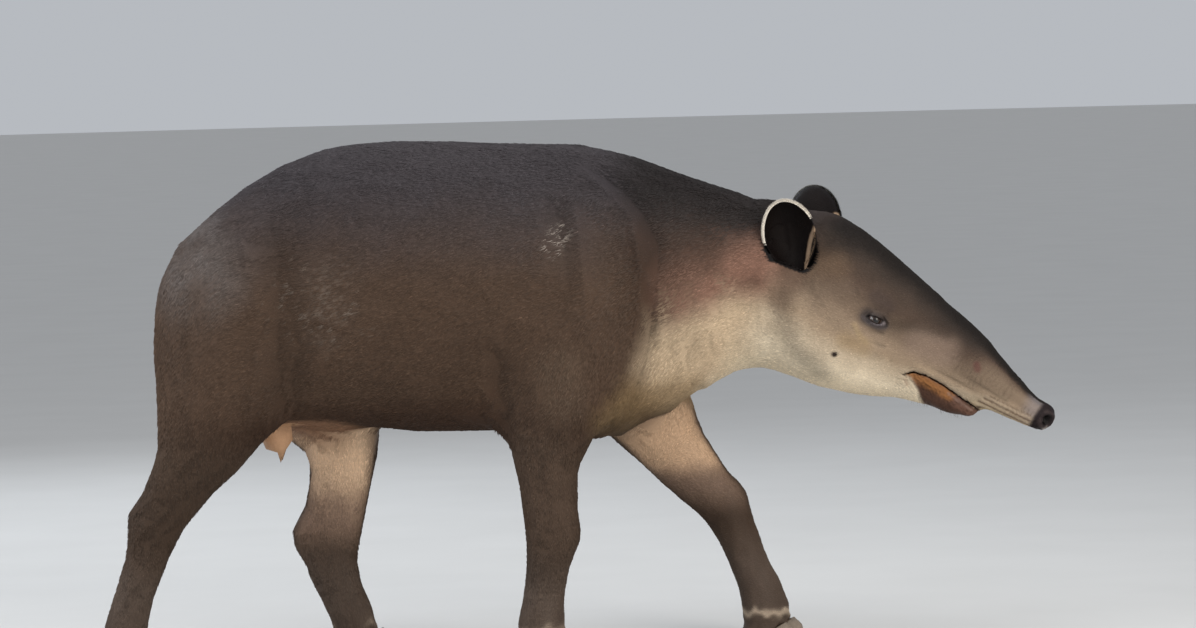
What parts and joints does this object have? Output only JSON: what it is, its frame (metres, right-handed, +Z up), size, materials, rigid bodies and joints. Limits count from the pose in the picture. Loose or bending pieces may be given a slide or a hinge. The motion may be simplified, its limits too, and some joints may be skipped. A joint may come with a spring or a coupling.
{
  "type": "baird's tapir",
  "caption": "Life-size still model of a Baird's tapir walking, head low and turned slightly, for display on a floor.",
  "frame": {"origin": "on the floor, under the middle of the model's box", "axes": "+X the way the animal walks, +Y its left, +Z up"},
  "size_m": [1.879, 0.4646, 1.0118],
  "materials": {
    "coat_body": "short, flat, dark brown coat with a faint sheen",
    "coat_face": "short, flat coat, grey brown with a cream throat",
    "coat_ear": "short black coat, cream fringe on the rim",
    "coat_leg": "short, flat, dark coat over wrinkled skin",
    "hoof": "grey brown horn, fine ridges, dull",
    "eye": "wet, clear over dark brown",
    "skin_udder": "bare pinkish tan skin"
  },
  "bodies": {
    "root": {"torso": "coat_body", "neck": "coat_body", "head": "coat_face", "proboscis": "coat_face", "ear_right": "coat_ear", "ear_left": "coat_ear", "eye_right": "eye", "eye_left": "eye", "tail": "coat_body", "udder": "skin_udder", "foreleg_right": "coat_leg", "foreleg_left": "coat_leg", "forefoot_right": "coat_leg", "forefoot_left": "coat_leg", "thigh_right": "coat_leg", "thigh_left": "coat_leg", "shank_right": "coat_leg", "shank_left": "coat_leg", "hindfoot_right": "coat_leg", "hindfoot_left": "coat_leg", "fore_hoof_right_2": "hoof", "fore_hoof_right_3": "hoof", "fore_hoof_right_4": "hoof", "fore_hoof_right_5": "hoof", "fore_hoof_left_2": "hoof", "fore_hoof_left_3": "hoof", "fore_hoof_left_4": "hoof", "fore_hoof_left_5": "hoof", "hind_hoof_right_2": "hoof", "hind_hoof_right_3": "hoof", "hind_hoof_right_4": "hoof", "hind_hoof_left_2": "hoof", "hind_hoof_left_3": "hoof", "hind_hoof_left_4": "hoof"}
  },
  "joints": []
}
